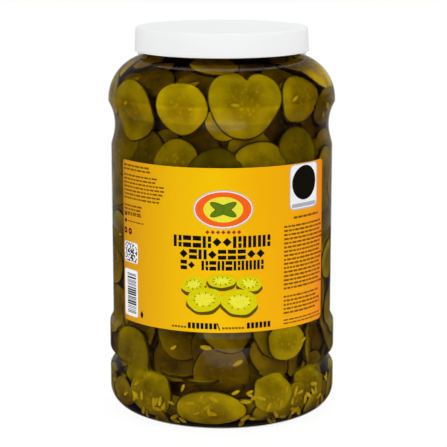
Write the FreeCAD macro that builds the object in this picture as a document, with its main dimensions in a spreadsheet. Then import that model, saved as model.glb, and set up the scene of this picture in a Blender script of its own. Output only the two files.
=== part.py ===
"""Family-size jar of sliced pickles in brine: clear jar, white screw lid, wrap label, contents.

The frame has +Z up and its origin at the centre of the base, on the surface the jar stands on.
The front of the label faces -Y. All sizes are millimetres and degrees.
"""
import FreeCAD
import Part
import Sketcher

import os

DOCUMENT_NAME = "PickleJar"
PARTS_FOLDER = "parts"
SHEET = "Sizes"
MATCH = 0.001

# Driving dimensions: alias, value, what it is.
SIZES = [
    ("wall", 0.8, "thickness of the blown wall"),
    ("foot_inner_radius", 50.0, "inner edge of the foot ring"),
    ("base_rise", 3.0, "height of the raised base inside the foot ring"),
    ("base_rise_radius", 44.0, "radius of the flat of the raised base"),
    ("base_radius", 76.4, "radius of the band above the heel"),
    ("heel_round", 13.6, "round of the heel"),
    ("groove_bottom", 28.0, "lower lip of the groove"),
    ("groove_middle", 33.0, "height of the groove's floor"),
    ("groove_top", 40.0, "upper lip of the groove"),
    ("groove_radius", 70.2, "radius at the groove's floor"),
    ("groove_lip_round", 3.0, "round of the groove's lips"),
    ("groove_floor_round", 1.2, "round of the groove's floor"),
    ("belt_radius", 76.4, "radius of the belt between groove and label panel"),
    ("belt_top", 58.0, "upper edge of the belt"),
    ("belt_round", 3.0, "round of the belt's upper edge"),
    ("panel_bottom", 62.6, "lower edge of the label panel"),
    ("panel_foot_round", 2.0, "round where the panel meets the belt"),
    ("panel_radius", 74.0, "radius of the label panel"),
    ("panel_top", 179.0, "upper edge of the label panel"),
    ("panel_top_round", 4.0, "round of the panel's upper edge"),
    ("waist_radius", 69.4, "radius of the waist's corner"),
    ("waist_height", 196.4, "height of the waist"),
    ("waist_round", 31.0, "round of the waist"),
    ("shoulder_radius", 75.5, "largest radius of the shoulder"),
    ("shoulder_bottom", 208.0, "lower corner of the shoulder"),
    ("shoulder_foot_round", 2.0, "round of the shoulder's lower corner"),
    ("shoulder_top", 229.2, "upper corner of the shoulder"),
    ("shoulder_round", 29.6, "round of the shoulder"),
    ("neck_root_radius", 56.2, "radius where the shoulder ends"),
    ("neck_root", 236.9, "height where the shoulder ends"),
    ("neck_radius", 53.4, "outer radius of the neck"),
    ("neck_foot", 237.8, "height where the neck stands upright"),
    ("neck_wall", 2.0, "thickness of the neck"),
    ("rim_height", 254.9, "height of the neck's rim, where the lid seals"),
    ("bead_radius", 55.6, "outer radius of the support bead"),
    ("bead_bottom", 238.4, "lower face of the support bead"),
    ("bead_top", 240.2, "upper face of the support bead"),
    ("lid_foot", 241.2, "height of the lid's lower edge"),
    ("lid_head", 256.5, "height of the lid's top"),
    ("lid_foot_radius", 57.9, "outer radius at the lid's lower edge"),
    ("lid_head_radius", 57.0, "outer radius at the lid's top"),
    ("lid_edge_round", 1.2, "round of the lid's top edge"),
    ("lid_bore_foot_radius", 56.3, "inner radius at the lid's lower edge"),
    ("lid_bore_head_radius", 55.5, "inner radius at the lid's seal"),
    ("thread_root_sink", 0.3, "how far the thread reaches into its wall"),
    ("thread_height", 1.3, "how far the thread stands out"),
    ("thread_root_width", 2.2, "width of the thread at its root"),
    ("thread_crest_width", 1.0, "width of the thread at its crest"),
    ("thread_pitch", 5.0, "rise of the thread in one turn"),
    ("thread_rise", 6.0, "rise of the whole thread"),
    ("neck_thread_start", 245.0, "height of the neck thread's first end"),
    ("lid_thread_start", 242.9, "height of the lid thread's first end"),
    ("label_bottom", 67.2, "lower edge of the label"),
    ("label_top", 174.1, "upper edge of the label"),
    ("label_outer_radius", 74.12, "outer radius of the label film"),
    ("label_left", 60.0, "degrees from the front to the label's left edge"),
    ("label_right", 62.0, "degrees from the front to the label's right edge"),
    ("label_corner_round", 3.0, "round of the label's corners"),
    ("brine_level", 248.0, "height of the brine's surface, inside the neck"),
]

# Outline of the closed jar form, from the axis at the base round to the axis at the rim.
JAR_OUTLINE = [
    (None, "base_rise"),
    ("base_rise_radius", "base_rise"),
    ("foot_inner_radius", None),
    ("base_radius", None),
    ("base_radius", "groove_bottom"),
    ("groove_radius", "groove_middle"),
    ("belt_radius", "groove_top"),
    ("belt_radius", "belt_top"),
    ("panel_radius", "panel_bottom"),
    ("panel_radius", "panel_top"),
    ("waist_radius", "waist_height"),
    ("shoulder_radius", "shoulder_bottom"),
    ("shoulder_radius", "shoulder_top"),
    ("neck_root_radius", "neck_root"),
    ("neck_radius", "neck_foot"),
    ("neck_radius", "rim_height"),
    (None, "rim_height"),
]

# Rounds of the jar form: the size, and the corners of the outline that it rounds.
JAR_ROUNDS = [
    ("heel_round", [("base_radius", None)]),
    ("groove_lip_round", [("base_radius", "groove_bottom"), ("belt_radius", "groove_top")]),
    ("groove_floor_round", [("groove_radius", "groove_middle")]),
    ("belt_round", [("belt_radius", "belt_top")]),
    ("panel_foot_round", [("panel_radius", "panel_bottom")]),
    ("panel_top_round", [("panel_radius", "panel_top")]),
    ("waist_round", [("waist_radius", "waist_height")]),
    ("shoulder_foot_round", [("shoulder_radius", "shoulder_bottom")]),
    ("shoulder_round", [("shoulder_radius", "shoulder_top")]),
]

BEAD_OUTLINE = [
    ("neck_radius", "bead_bottom"),
    ("bead_radius", "bead_bottom"),
    ("bead_radius", "bead_top"),
    ("neck_radius", "bead_top"),
]

LID_OUTLINE = [
    ("lid_bore_foot_radius", "lid_foot"),
    ("lid_foot_radius", "lid_foot"),
    ("lid_head_radius", "lid_head"),
    (None, "lid_head"),
    (None, "rim_height"),
    ("lid_bore_head_radius", "rim_height"),
]

LABEL_OUTLINE = [
    ("panel_radius", "label_bottom"),
    ("label_outer_radius", "label_bottom"),
    ("label_outer_radius", "label_top"),
    ("panel_radius", "label_top"),
]


def make_sheet(doc):
    """Write the driving dimensions into the document's spreadsheet."""
    sheet = doc.addObject("Spreadsheet::Sheet", SHEET)
    for row, (alias, value, meaning) in enumerate(SIZES, start=1):
        sheet.set(f"A{row}", meaning)
        sheet.set(f"B{row}", str(value))
        sheet.setAlias(f"B{row}", alias)
    doc.recompute()
    return sheet


def size(sheet, alias):
    """Value of a named size, or zero where a corner lies on an axis."""
    return 0.0 if alias is None else float(sheet.get(alias))


def bind(thing, prop, expression):
    """Bind a property to the spreadsheet; a bare alias stands for its cell."""
    thing.setExpression(prop, expression)


def origin_plane(body, role):
    """The body's own origin plane of the given role."""
    return next(plane for plane in body.Origin.OriginFeatures if plane.Role == role)


def new_sketch(body, name):
    """Empty sketch on the body's XZ plane: its axes are the radius and the height."""
    sketch = body.newObject("Sketcher::SketchObject", name)
    sketch.AttachmentSupport = [(origin_plane(body, "XZ_Plane"), "")]
    sketch.MapMode = "FlatFace"
    return sketch


def pin_corner(sketch, line, corner, sheet):
    """Tie the start of one line to its radius and height cells."""
    for kind, alias, axis in zip(("DistanceX", "DistanceY"), corner, (-2, -1)):
        if alias is None:
            sketch.addConstraint(Sketcher.Constraint("PointOnObject", line, 1, axis))
            continue
        number = sketch.addConstraint(
            Sketcher.Constraint(kind, -1, 1, line, 1, size(sheet, alias)))
        bind(sketch, f"Constraints[{number}]", f"{SHEET}.{alias}")


def outline_sketch(body, name, corners, sheet):
    """Closed sketch of straight lines through named corners."""
    sketch = new_sketch(body, name)
    points = [FreeCAD.Vector(size(sheet, r), size(sheet, z), 0) for r, z in corners]
    for start, end in zip(points, points[1:] + points[:1]):
        sketch.addGeometry(Part.LineSegment(start, end), False)
    for line in range(len(points)):
        after = (line + 1) % len(points)
        sketch.addConstraint(Sketcher.Constraint("Coincident", line, 2, after, 1))
    for line, corner in enumerate(corners):
        pin_corner(sketch, line, corner, sheet)
    return sketch


def turn(body, name, sketch, angle=None):
    """Revolve a sketch about the height axis, fully or by a bound angle."""
    feature = body.newObject("PartDesign::Revolution", name)
    feature.Profile = sketch
    feature.ReferenceAxis = (sketch, ["V_Axis"])
    feature.Angle = 360.0
    if angle:
        bind(feature, "Angle", angle)
    return feature


def circles_at(shape, corners, sheet):
    """Names of the circular edges that pass through the outline's corners."""
    names = []
    for number, edge in enumerate(shape.Edges, start=1):
        if not isinstance(edge.Curve, Part.Circle):
            continue
        for radius, height in corners:
            same_radius = abs(edge.Curve.Radius - size(sheet, radius)) < MATCH
            same_height = abs(edge.Curve.Center.z - size(sheet, height)) < MATCH
            if same_radius and same_height:
                names.append(f"Edge{number}")
    return names


def round_edges(body, base, round_alias, edges):
    """Fillet named edges of a feature by a size from the sheet."""
    if not edges:
        raise RuntimeError(f"no edge found for {round_alias}")
    fillet = body.newObject("PartDesign::Fillet", round_alias)
    fillet.Base = (base, edges)
    bind(fillet, "Radius", f"{SHEET}.{round_alias}")
    body.Document.recompute()
    return fillet


def add_thread(body, name, start_alias, root_alias, sheet, outward):
    """Helical thread on a wall, standing outward from a neck or inward from a lid."""
    side = 1 if outward else -1
    sketch = new_sketch(body, f"{name}_profile")
    start = size(sheet, start_alias)
    root = size(sheet, root_alias) - side * size(sheet, "thread_root_sink")
    crest = size(sheet, root_alias) + side * size(sheet, "thread_height")
    half_root = size(sheet, "thread_root_width") / 2
    half_crest = size(sheet, "thread_crest_width") / 2
    corners = [(root, start - half_root), (crest, start - half_crest),
               (crest, start + half_crest), (root, start + half_root)]
    points = [FreeCAD.Vector(r, z, 0) for r, z in corners]
    for first, last in zip(points, points[1:] + points[:1]):
        sketch.addGeometry(Part.LineSegment(first, last), False)
    for line in range(4):
        sketch.addConstraint(Sketcher.Constraint("Coincident", line, 2, (line + 1) % 4, 1))
    sink = f"{SHEET}.{root_alias} - {side} * {SHEET}.thread_root_sink"
    stand = f"{SHEET}.{root_alias} + {side} * {SHEET}.thread_height"
    heights = [f"{SHEET}.{start_alias} {sign} {SHEET}.{width} / 2" for sign, width in (
        ("-", "thread_root_width"), ("-", "thread_crest_width"),
        ("+", "thread_crest_width"), ("+", "thread_root_width"))]
    for line, ((r, z), reach, height) in enumerate(
            zip(corners, (sink, stand, stand, sink), heights)):
        across = sketch.addConstraint(Sketcher.Constraint("DistanceX", -1, 1, line, 1, r))
        bind(sketch, f"Constraints[{across}]", reach)
        up = sketch.addConstraint(Sketcher.Constraint("DistanceY", -1, 1, line, 1, z))
        bind(sketch, f"Constraints[{up}]", height)
    helix = body.newObject("PartDesign::AdditiveHelix", name)
    helix.Profile = sketch
    helix.ReferenceAxis = (sketch, ["V_Axis"])
    helix.Mode = "pitch-height-angle"
    bind(helix, "Pitch", f"{SHEET}.thread_pitch")
    bind(helix, "Height", f"{SHEET}.thread_rise")
    return helix


def new_body(doc, name):
    """Body whose label is also the name of its file."""
    body = doc.addObject("PartDesign::Body", name)
    body.Label = name
    return body


def make_form(doc, sheet):
    """The blown form of the jar as one solid, from the foot to the rim."""
    body = new_body(doc, "jar_form")
    sketch = outline_sketch(body, "jar_outline", JAR_OUTLINE, sheet)
    feature = turn(body, "jar_turned", sketch)
    doc.recompute()
    for round_alias, corners in JAR_ROUNDS:
        edges = circles_at(feature.Shape, corners, sheet)
        feature = round_edges(body, feature, round_alias, edges)
    return body


def make_finish(doc, sheet):
    """The neck's support bead and screw thread, as rings round the neck."""
    bead = new_body(doc, "neck_bead")
    turn(bead, "bead_turned", outline_sketch(bead, "bead_outline", BEAD_OUTLINE, sheet))
    thread = new_body(doc, "neck_thread")
    add_thread(thread, "neck_thread_turns", "neck_thread_start", "neck_radius", sheet, True)
    return [bead, thread]


def make_cavity(doc, form):
    """The space inside the walls: the form, shrunk by the wall."""
    cavity = doc.addObject("Part::Offset", "jar_cavity")
    cavity.Source = form
    cavity.Mode = "Skin"
    cavity.Join = "Intersection"
    bind(cavity, "Value", f"-{SHEET}.wall")
    return cavity


def make_column(doc, name, radius, foot, head):
    """Upright cylinder about the axis between two heights."""
    column = doc.addObject("Part::Cylinder", name)
    bind(column, "Radius", radius)
    bind(column, "Height", f"{head} - {foot}")
    bind(column, "Placement.Base.z", foot)
    return column


def make_jar(doc, form, finish, cavity):
    """Clear jar: the form with its neck finish, hollow and open at the mouth."""
    outside = doc.addObject("Part::MultiFuse", "jar_outside")
    outside.Shapes = [form] + finish
    below_neck = make_column(doc, "below_neck", f"{SHEET}.base_radius",
                             "0", f"{SHEET}.neck_root")
    body_space = doc.addObject("Part::MultiCommon", "body_space")
    body_space.Shapes = [cavity, below_neck]
    mouth = make_column(doc, "mouth", f"{SHEET}.neck_radius - {SHEET}.neck_wall",
                        f"{SHEET}.shoulder_top", f"{SHEET}.rim_height")
    hollow = doc.addObject("Part::MultiFuse", "hollow")
    hollow.Shapes = [body_space, mouth]
    jar = doc.addObject("Part::Cut", "jar")
    jar.Base = outside
    jar.Tool = hollow
    jar.Label = "jar"
    return jar, hollow


def make_contents(doc, hollow):
    """Pickles in brine: everything inside the jar up to the brine's surface."""
    below_level = make_column(doc, "below_level", f"{SHEET}.base_radius",
                              "0", f"{SHEET}.brine_level")
    contents = doc.addObject("Part::MultiCommon", "pickles_in_brine")
    contents.Shapes = [hollow, below_level]
    contents.Label = "pickles_in_brine"
    return contents


def make_lid(doc, sheet):
    """White screw lid: a shallow cap with a thread inside its skirt."""
    body = new_body(doc, "lid")
    sketch = outline_sketch(body, "lid_outline", LID_OUTLINE, sheet)
    feature = turn(body, "lid_turned", sketch)
    doc.recompute()
    edges = circles_at(feature.Shape, [("lid_head_radius", "lid_head")], sheet)
    round_edges(body, feature, "lid_edge_round", edges)
    add_thread(body, "lid_thread_turns", "lid_thread_start", "lid_bore_head_radius",
               sheet, False)
    return body


def make_label(doc, sheet):
    """Printed film wrapped part of the way round the panel, with rounded corners."""
    body = new_body(doc, "label")
    sketch = outline_sketch(body, "label_outline", LABEL_OUTLINE, sheet)
    feature = turn(body, "label_turned", sketch,
                   f"{SHEET}.label_left + {SHEET}.label_right")
    doc.recompute()
    thickness = size(sheet, "label_outer_radius") - size(sheet, "panel_radius")
    corners = [f"Edge{number}" for number, edge in enumerate(feature.Shape.Edges, start=1)
               if abs(edge.Length - thickness) < MATCH]
    round_edges(body, feature, "label_corner_round", corners)
    body.Placement.Rotation.Axis = FreeCAD.Vector(0, 0, 1)
    bind(body, "Placement.Rotation.Angle", f"-(90 + {SHEET}.label_left)")
    return body


def check_document(doc, parts):
    """Stop if any object failed, or a sub-part is not one valid solid."""
    for thing in doc.Objects:
        if "Invalid" in thing.State or "Error" in thing.State:
            raise RuntimeError(f"{thing.Name} failed: {thing.State}")
    for part in parts:
        shape = part.Shape
        if shape.isNull() or not shape.isValid() or len(shape.Solids) != 1:
            raise RuntimeError(f"{part.Label} is not one valid solid")
        print(f"{part.Label}: {shape.Volume / 1000:.1f} cm3, {len(shape.Faces)} faces,",
              f"z {shape.BoundBox.ZMin:.2f} to {shape.BoundBox.ZMax:.2f}")


def main():
    """Build the document and write one file for each sub-part."""
    doc = FreeCAD.newDocument(DOCUMENT_NAME)
    sheet = make_sheet(doc)
    form = make_form(doc, sheet)
    finish = make_finish(doc, sheet)
    cavity = make_cavity(doc, form)
    jar, hollow = make_jar(doc, form, finish, cavity)
    contents = make_contents(doc, hollow)
    parts = [jar, contents, make_lid(doc, sheet), make_label(doc, sheet)]
    doc.recompute()
    check_document(doc, parts)
    os.makedirs(PARTS_FOLDER, exist_ok=True)
    for part in parts:
        part.Shape.exportStep(f"{PARTS_FOLDER}/{part.Label}.step")


main()
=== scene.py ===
"""Looks of a family-size jar of sliced pickles in brine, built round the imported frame.

Lengths in the classes are millimetres, except in Studio, and angles degrees. Meshes are
made in metres, in the frame's own axes: +Z up along the jar, -Y towards the front of the
label, +X to the right.
"""

import logging
import math
import random
from dataclasses import dataclass, field
from enum import Enum
from typing import Callable, Iterable, Optional, Sequence, Union

import bpy
import numpy as np
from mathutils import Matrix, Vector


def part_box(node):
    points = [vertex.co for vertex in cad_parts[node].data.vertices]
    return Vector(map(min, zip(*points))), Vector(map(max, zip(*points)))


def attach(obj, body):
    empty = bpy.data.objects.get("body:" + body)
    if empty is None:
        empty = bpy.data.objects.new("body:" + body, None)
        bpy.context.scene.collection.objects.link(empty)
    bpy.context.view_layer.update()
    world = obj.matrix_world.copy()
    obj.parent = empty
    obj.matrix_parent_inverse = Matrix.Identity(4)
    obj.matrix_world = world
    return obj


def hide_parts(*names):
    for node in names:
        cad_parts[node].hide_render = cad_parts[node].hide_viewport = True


MM = 0.001
WHITE = (1.0, 1.0, 1.0, 1.0)
TINY = 1e-6
Lengths = Union[float, np.ndarray]
ROOT = "root"
LOG = logging.getLogger("pickle_jar")

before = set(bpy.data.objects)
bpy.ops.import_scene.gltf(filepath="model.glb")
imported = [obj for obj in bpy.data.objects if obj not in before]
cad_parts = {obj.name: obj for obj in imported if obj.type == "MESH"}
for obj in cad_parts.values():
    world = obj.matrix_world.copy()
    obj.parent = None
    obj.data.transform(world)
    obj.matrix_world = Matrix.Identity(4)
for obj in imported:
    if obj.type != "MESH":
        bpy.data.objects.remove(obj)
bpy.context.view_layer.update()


# ---------------------------------------------------------------- small tools


def srgb(code: str) -> tuple[float, float, float, float]:
    """Linear colour of an sRGB hex code.

    Args:
        code: six hex digits, such as "F2A81D".

    Returns:
        Linear red, green and blue, and an alpha of one.
    """
    parts = [int(code[i:i + 2], 16) / 255 for i in (0, 2, 4)]
    linear = [c / 12.92 if c <= 0.04045 else ((c + 0.055) / 1.055) ** 2.4 for c in parts]
    return (*linear, 1.0)


def add_node(tree: bpy.types.NodeTree, kind: str, settings: Optional[dict] = None,
             inputs: Optional[dict] = None) -> bpy.types.Node:
    """Add a node with its settings, constants and links.

    Args:
        tree: node tree that gets the node.
        kind: the node's type name.
        settings: properties of the node by name.
        inputs: constants or sockets by input name or number.

    Returns:
        The new node.
    """
    node = tree.nodes.new(kind)
    for name, value in (settings or {}).items():
        setattr(node, name, value)
    for key, value in (inputs or {}).items():
        if isinstance(value, bpy.types.NodeSocket):
            tree.links.new(value, node.inputs[key])
        else:
            node.inputs[key].default_value = value
    return node


def new_material(name: str) -> tuple[bpy.types.Material, bpy.types.NodeTree]:
    """Material with an empty node tree, and the tree."""
    material = bpy.data.materials.new(name)
    material.use_nodes = True
    material.node_tree.nodes.clear()
    return material, material.node_tree


def output(tree: bpy.types.NodeTree, surface: bpy.types.NodeSocket,
           volume: Optional[bpy.types.NodeSocket] = None) -> None:
    """End a material's tree in its surface and, where it has one, its volume."""
    inputs = {"Surface": surface}
    if volume:
        inputs["Volume"] = volume
    add_node(tree, "ShaderNodeOutputMaterial", inputs=inputs)


def make_object(name: str, vertices: np.ndarray, faces: Sequence[Sequence[int]],
                materials: Sequence[bpy.types.Material],
                smooth: bool = True) -> bpy.types.Object:
    """Object at the origin from vertices in millimetres.

    Args:
        name: name of the piece.
        vertices: one row for each vertex, millimetres.
        faces: vertex numbers of each face, outward by the right-hand rule.
        materials: the piece's material slots.
        smooth: shade smoothly.

    Returns:
        The object, linked to the scene.
    """
    mesh = bpy.data.meshes.new(name)
    mesh.from_pydata((np.asarray(vertices) * MM).tolist(), [], [list(f) for f in faces])
    for material in materials:
        mesh.materials.append(material)
    mesh.polygons.foreach_set("use_smooth", [smooth] * len(mesh.polygons))
    mesh.update()
    thing = bpy.data.objects.new(name, mesh)
    bpy.context.scene.collection.objects.link(thing)
    return thing


def chart(piece: bpy.types.Object, name: str, places: np.ndarray) -> None:
    """Give a piece its own map, with one place for each vertex."""
    layer = piece.data.uv_layers.new(name=name)
    corners = np.zeros(len(piece.data.loops), dtype=np.int32)
    piece.data.loops.foreach_get("vertex_index", corners)
    layer.data.foreach_set("uv", places[corners].ravel())


def around_axis(radius: Lengths, turn: Lengths, height: Lengths) -> np.ndarray:
    """Points at a radius and height, turned from the front towards the right in radians."""
    return np.stack(np.broadcast_arrays(radius * np.sin(turn), -radius * np.cos(turn),
                                        height), axis=-1)


def disc_faces(n: int, rings: int, first: int, front_first: bool) -> list[tuple[int, ...]]:
    """Faces of a thin disc of two sides, each a middle point and its rings.

    Args:
        n: points in each ring.
        rings: rings on each side.
        first: number of the disc's first vertex.
        front_first: whether the side at the wall comes first.

    Returns:
        Both sides and the rim, all outward.
    """
    block = 1 + n * rings
    last = first + 1 + (rings - 1) * n
    faces: list[tuple[int, ...]] = []
    for start, front in ((first, front_first), (first + block, not front_first)):
        for j in range(n):
            i = (j + 1) % n
            face = (start, start + 1 + j, start + 1 + i)
            faces.append(face if front else face[::-1])
            for k in range(rings - 1):
                low, high = start + 1 + k * n, start + 1 + (k + 1) * n
                quad = (low + j, high + j, high + i, low + i)
                faces.append(quad if front else quad[::-1])
    for j in range(n):
        i = (j + 1) % n
        rim = (last + j, block + last + j, block + last + i, last + i)
        faces.append(rim if front_first else rim[::-1])
    return faces


def ride(piece: bpy.types.Object) -> None:
    """Fix a finished piece to the jar's one body, and report it."""
    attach(piece, ROOT)
    LOG.info("%s: %d faces", piece.name, len(piece.data.polygons))


# ---------------------------------------------------------------- turned forms


@dataclass(frozen=True)
class Corner:
    """Corner of a turned outline, with the round that softens it."""

    radius: float
    height: float
    round: float = 0.0


def rounded(corners: Sequence[Corner], step: float = 6.0) -> np.ndarray:
    """Outline through corners, with each round as an arc.

    Args:
        corners: the outline's corners in order.
        step: largest turn between two points of an arc, in degrees.

    Returns:
        Rows of radius and height.
    """
    points = [(corners[0].radius, corners[0].height)]
    for before, here, after in zip(corners, corners[1:], corners[2:]):
        middle = np.array([here.radius, here.height])
        back = np.array([before.radius, before.height]) - middle
        ahead = np.array([after.radius, after.height]) - middle
        back /= np.linalg.norm(back)
        ahead /= np.linalg.norm(ahead)
        inner = math.acos(float(np.clip(back @ ahead, -1, 1)))
        if here.round <= 0 or inner > math.pi - 1e-4:
            points.append(tuple(middle))
            continue
        bisector = (back + ahead) / np.linalg.norm(back + ahead)
        centre = middle + bisector * here.round / math.sin(inner / 2)
        reach = here.round / math.tan(inner / 2)
        start = middle + back * reach - centre
        turn = math.pi - inner
        if back[0] * ahead[1] - back[1] * ahead[0] > 0:
            turn = -turn
        count = max(2, math.ceil(abs(math.degrees(turn)) / step))
        for k in range(count + 1):
            c, s = math.cos(turn * k / count), math.sin(turn * k / count)
            points.append((centre[0] + c * start[0] - s * start[1],
                           centre[1] + s * start[0] + c * start[1]))
    points.append((corners[-1].radius, corners[-1].height))
    return np.array(points)


def spread(outline: np.ndarray, pitch: float) -> np.ndarray:
    """Outline with points added so that none of its runs is longer than pitch."""
    rows = [outline[0]]
    for start, end in zip(outline, outline[1:]):
        count = max(1, math.ceil(float(np.linalg.norm(end - start)) / pitch))
        rows += [start + (end - start) * k / count for k in range(1, count + 1)]
    return np.array(rows)


def inset(outline: np.ndarray, depth: float) -> np.ndarray:
    """Outline moved inwards by a wall's depth, kept at or right of the axis."""
    along = np.gradient(outline, axis=0)
    along /= np.maximum(np.linalg.norm(along, axis=1, keepdims=True), 1e-9)
    inward = np.stack([-along[:, 1], along[:, 0]], axis=1)
    moved = outline + inward * depth
    moved[:, 0] = np.maximum(moved[:, 0], 0)
    moved[outline[:, 0] < TINY, 0] = 0
    return moved


def lathe(name: str, outline: np.ndarray, segments: int,
          materials: Sequence[bpy.types.Material],
          slot_of: Optional[Callable[[int], int]] = None) -> bpy.types.Object:
    """Turn an outline that runs from the axis at the foot round to the axis at the head.

    Args:
        name: name of the piece.
        outline: rows of radius and height; the first and last may lie on the axis.
        segments: faces round the axis.
        materials: the piece's material slots.
        slot_of: material slot of the faces above the outline's k-th point.

    Returns:
        The closed or ring-shaped solid.
    """
    turns = np.linspace(0, 2 * math.pi, segments, endpoint=False)
    vertices, first = [], []
    for radius, height in outline:
        first.append((len(vertices), radius < TINY))
        if radius < TINY:
            vertices.append((0.0, 0.0, height))
            continue
        vertices += [(radius * math.cos(t), radius * math.sin(t), height) for t in turns]
    faces, slots = [], []
    loops = list(zip(first, first[1:]))
    if not first[0][1]:
        loops.append((first[-1], first[0]))
    for k, ((low, low_point), (high, high_point)) in enumerate(loops):
        for j in range(segments):
            i = (j + 1) % segments
            if low_point:
                faces.append((low, high + i, high + j))
            elif high_point:
                faces.append((low + j, low + i, high))
            else:
                faces.append((low + j, low + i, high + i, high + j))
            slots.append(slot_of(k) if slot_of else 0)
    piece = make_object(name, np.array(vertices), faces, materials)
    piece.data.polygons.foreach_set("material_index", slots)
    return piece


# ---------------------------------------------------------------- finishes


@dataclass(frozen=True)
class BlownPet:
    """Clear PET, blown: thin, slightly smoky, with a wet-looking gloss outside.

    The wall is too thin to bend the view, so light goes straight through, and only its
    outer face mirrors, by the plastic's own Fresnel curve.
    """

    tint: str = "FBFBF4"
    ior: float = 1.57
    polish: float = 0.03

    def outer(self) -> bpy.types.Material:
        """Outer face: clear, with the gloss of moulded plastic."""
        material, tree = new_material("pet_blown_outer")
        clear = add_node(tree, "ShaderNodeBsdfTransparent", inputs={"Color": srgb(self.tint)})
        gloss = add_node(tree, "ShaderNodeBsdfAnisotropic",
                         inputs={"Roughness": self.polish})
        fresnel = add_node(tree, "ShaderNodeFresnel", inputs={"IOR": self.ior})
        side = add_node(tree, "ShaderNodeNewGeometry")
        front = add_node(tree, "ShaderNodeMath", {"operation": "SUBTRACT"},
                         {0: 1.0, 1: side.outputs["Backfacing"]})
        share = add_node(tree, "ShaderNodeMath", {"operation": "MULTIPLY"},
                         {0: fresnel.outputs[0], 1: front.outputs[0]})
        mix = add_node(tree, "ShaderNodeMixShader",
                       inputs={0: share.outputs[0], 1: clear.outputs[0], 2: gloss.outputs[0]})
        output(tree, mix.outputs[0])
        return material

    def wetted(self) -> bpy.types.Material:
        """Inner face: brine against plastic, which mirrors next to nothing."""
        material, tree = new_material("pet_blown_wetted")
        clear = add_node(tree, "ShaderNodeBsdfTransparent", inputs={"Color": srgb(self.tint)})
        output(tree, clear.outputs[0])
        return material


@dataclass(frozen=True)
class AmberBrine:
    """Spiced vinegar brine: clear near the wall, amber and then near black with depth."""

    passed: str = "DFD600"
    density: float = 190.0
    ior: float = 1.35

    def build(self) -> bpy.types.Material:
        """Brine that bends the view as water does, and lets the lamps straight through.

        Lamps reach the slices by shadow and diffuse rays, which pass unbent, because bent
        lamplight would come out as noise.
        """
        material, tree = new_material("vinegar_brine_amber")
        clear = add_node(tree, "ShaderNodeBsdfTransparent",
                         inputs={"Color": WHITE})
        bent = add_node(tree, "ShaderNodeBsdfRefraction",
                        inputs={"Color": WHITE, "Roughness": 0.0,
                                "IOR": self.ior})
        path = add_node(tree, "ShaderNodeLightPath")
        lamp = add_node(tree, "ShaderNodeMath", {"operation": "MAXIMUM"},
                        {0: path.outputs["Is Shadow Ray"], 1: path.outputs["Is Diffuse Ray"]})
        surface = add_node(tree, "ShaderNodeMixShader",
                           inputs={0: lamp.outputs[0], 1: bent.outputs[0],
                                   2: clear.outputs[0]})
        depth = add_node(tree, "ShaderNodeVolumeAbsorption",
                         inputs={"Color": srgb(self.passed), "Density": self.density})
        output(tree, surface.outputs[0], depth.outputs[0])
        return material


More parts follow.
